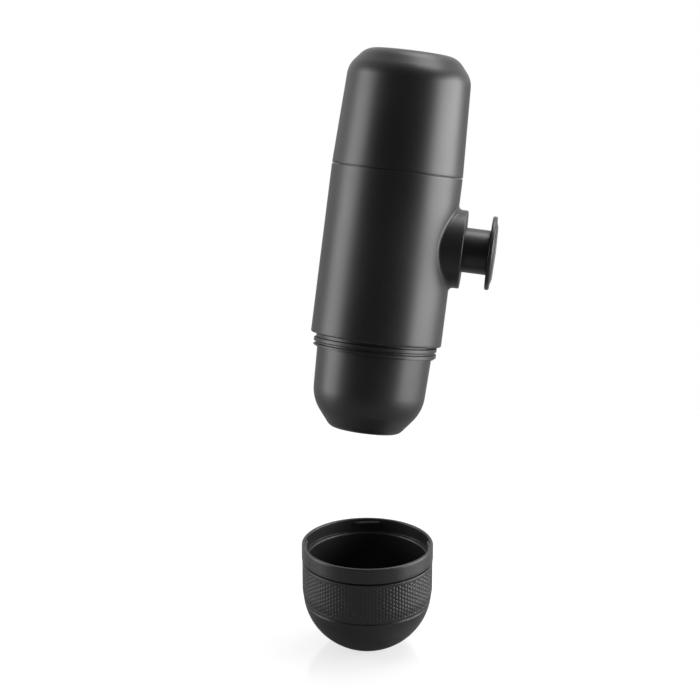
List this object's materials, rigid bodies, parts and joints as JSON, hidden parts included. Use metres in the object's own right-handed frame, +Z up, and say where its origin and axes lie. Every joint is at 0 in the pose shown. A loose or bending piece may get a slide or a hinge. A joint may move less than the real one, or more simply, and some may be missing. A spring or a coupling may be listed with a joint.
{
  "type": "handheld espresso maker",
  "caption": "Handheld manual espresso maker: capsule-shaped body with a side pump knob, screw-on water tank and outlet head, filter basket and a round knurled cup.",
  "frame": {"origin": "middle of the barrel, on its long axis, where the hand holds it", "axes": "+Z up as pictured; +X towards the pump knob as seen from the front; +Y away from the viewer"},
  "size_m": [0.0853, 0.1047, 0.2578],
  "materials": {
    "casing": "satin black moulded plastic with a very fine spark-eroded grain",
    "knob_plastic": "smoother satin black plastic",
    "knob_cap_gloss": "polished black plastic",
    "inner_plastic": "dark grey moulded plastic",
    "silicone": "dark grey silicone rubber",
    "steel_sheet": "pressed and perforated stainless steel",
    "steel_bar": "turned stainless steel",
    "spring_steel": "drawn stainless spring wire",
    "cup_plastic": "satin black moulded plastic",
    "cup_grip_plastic": "black plastic with a fine diamond grip pattern"
  },
  "bodies": {
    "maker": {"barrel_shell": "casing", "tank_deck": "inner_plastic", "inlet_strainer": "steel_sheet", "vent_valve": "silicone", "pump_block": "inner_plastic", "cylinder_gland": "inner_plastic", "guide_bush": "knob_plastic", "stem_wiper": "silicone", "brew_head": "inner_plastic", "brew_gasket": "silicone", "shower_screen": "steel_sheet", "screen_screw": "steel_bar", "inlet_cartridge": "inner_plastic", "outlet_cartridge": "inner_plastic", "inlet_spring": "spring_steel", "outlet_spring": "spring_steel", "return_spring": "spring_steel", "deck_screws": "steel_bar", "brew_screws": "steel_bar"},
    "plunger": {"piston_head": "inner_plastic", "piston_rings": "silicone", "plunger_rod": "steel_bar", "knob_washer": "steel_bar", "knob_screw": "steel_bar"},
    "knob": {"knob_body": "knob_plastic", "knob_cap": "knob_cap_gloss", "stop_ring": "steel_bar"},
    "tank_seal": {"tank_gasket": "silicone"},
    "tank": {"tank_shell": "casing"},
    "outlet_seal": {"head_gasket": "silicone"},
    "outlet": {"outlet_head": "casing", "nozzle_insert": "inner_plastic"},
    "basket": {"filter_basket": "steel_sheet"},
    "inlet_check_ball": {"inlet_ball": "steel_bar"},
    "outlet_check_ball": {"outlet_ball": "steel_bar"},
    "cup": {"cup_shell": "cup_plastic", "cup_grip": "cup_grip_plastic"}
  },
  "joints": [
    {"name": "piston_slide", "type": "slide", "parent": "maker", "child": "plunger", "axis": [0.9883, -0.1141, -0.1009], "range_m": [-0.0106, 0], "stiffness_N_per_m": 900, "springref_m": 0.002, "deforming": ["return_spring"]},
    {"name": "knob_turn", "type": "hinge", "parent": "plunger", "child": "knob", "pos_m": [0.04402, -0.00345, 0.00196], "axis": [0.9883, -0.1141, -0.1009], "range_deg": [0, 70]},
    {"name": "tank_lift", "type": "slide", "parent": "maker", "child": "tank_seal", "axis": [0.1253, 0.2333, 0.9643], "range_m": [0, 0.055]},
    {"name": "tank_turn", "type": "hinge", "parent": "tank_seal", "child": "tank", "pos_m": [0.00465, 0.00865, 0.03578], "axis": [0.1253, 0.2333, 0.9643], "range_deg": [0, 120]},
    {"name": "outlet_pull", "type": "slide", "parent": "maker", "child": "outlet_seal", "axis": [0.1253, 0.2333, 0.9643], "range_m": [-0.036, 0]},
    {"name": "outlet_turn", "type": "hinge", "parent": "outlet_seal", "child": "outlet", "pos_m": [-0.00464, -0.00863, -0.03568], "axis": [0.1253, 0.2333, 0.9643], "range_deg": [0, 90]},
    {"name": "basket_lift", "type": "slide", "parent": "outlet", "child": "basket", "axis": [0.1253, 0.2333, 0.9643], "range_m": [0, 0.0216]},
    {"name": "inlet_valve", "type": "slide", "parent": "maker", "child": "inlet_check_ball", "axis": [0.1253, 0.2333, 0.9643], "range_m": [-0.0012, 0], "stiffness_N_per_m": 30, "springref_m": 0.0005, "deforming": ["inlet_spring"]},
    {"name": "outlet_valve", "type": "slide", "parent": "maker", "child": "outlet_check_ball", "axis": [0.1253, 0.2333, 0.9643], "range_m": [-0.0012, 0], "stiffness_N_per_m": 30, "springref_m": 0.0005, "deforming": ["outlet_spring"]},
    {"name": "cup_raise", "type": "slide", "parent": "maker", "child": "cup", "axis": [-0.0259, 0.2604, 0.9651], "range_m": [0, 0.05414]}
  ],
  "couplings": [
    {"joint": "basket_lift", "follows": "outlet_pull", "ratio": -0.6}
  ]
}
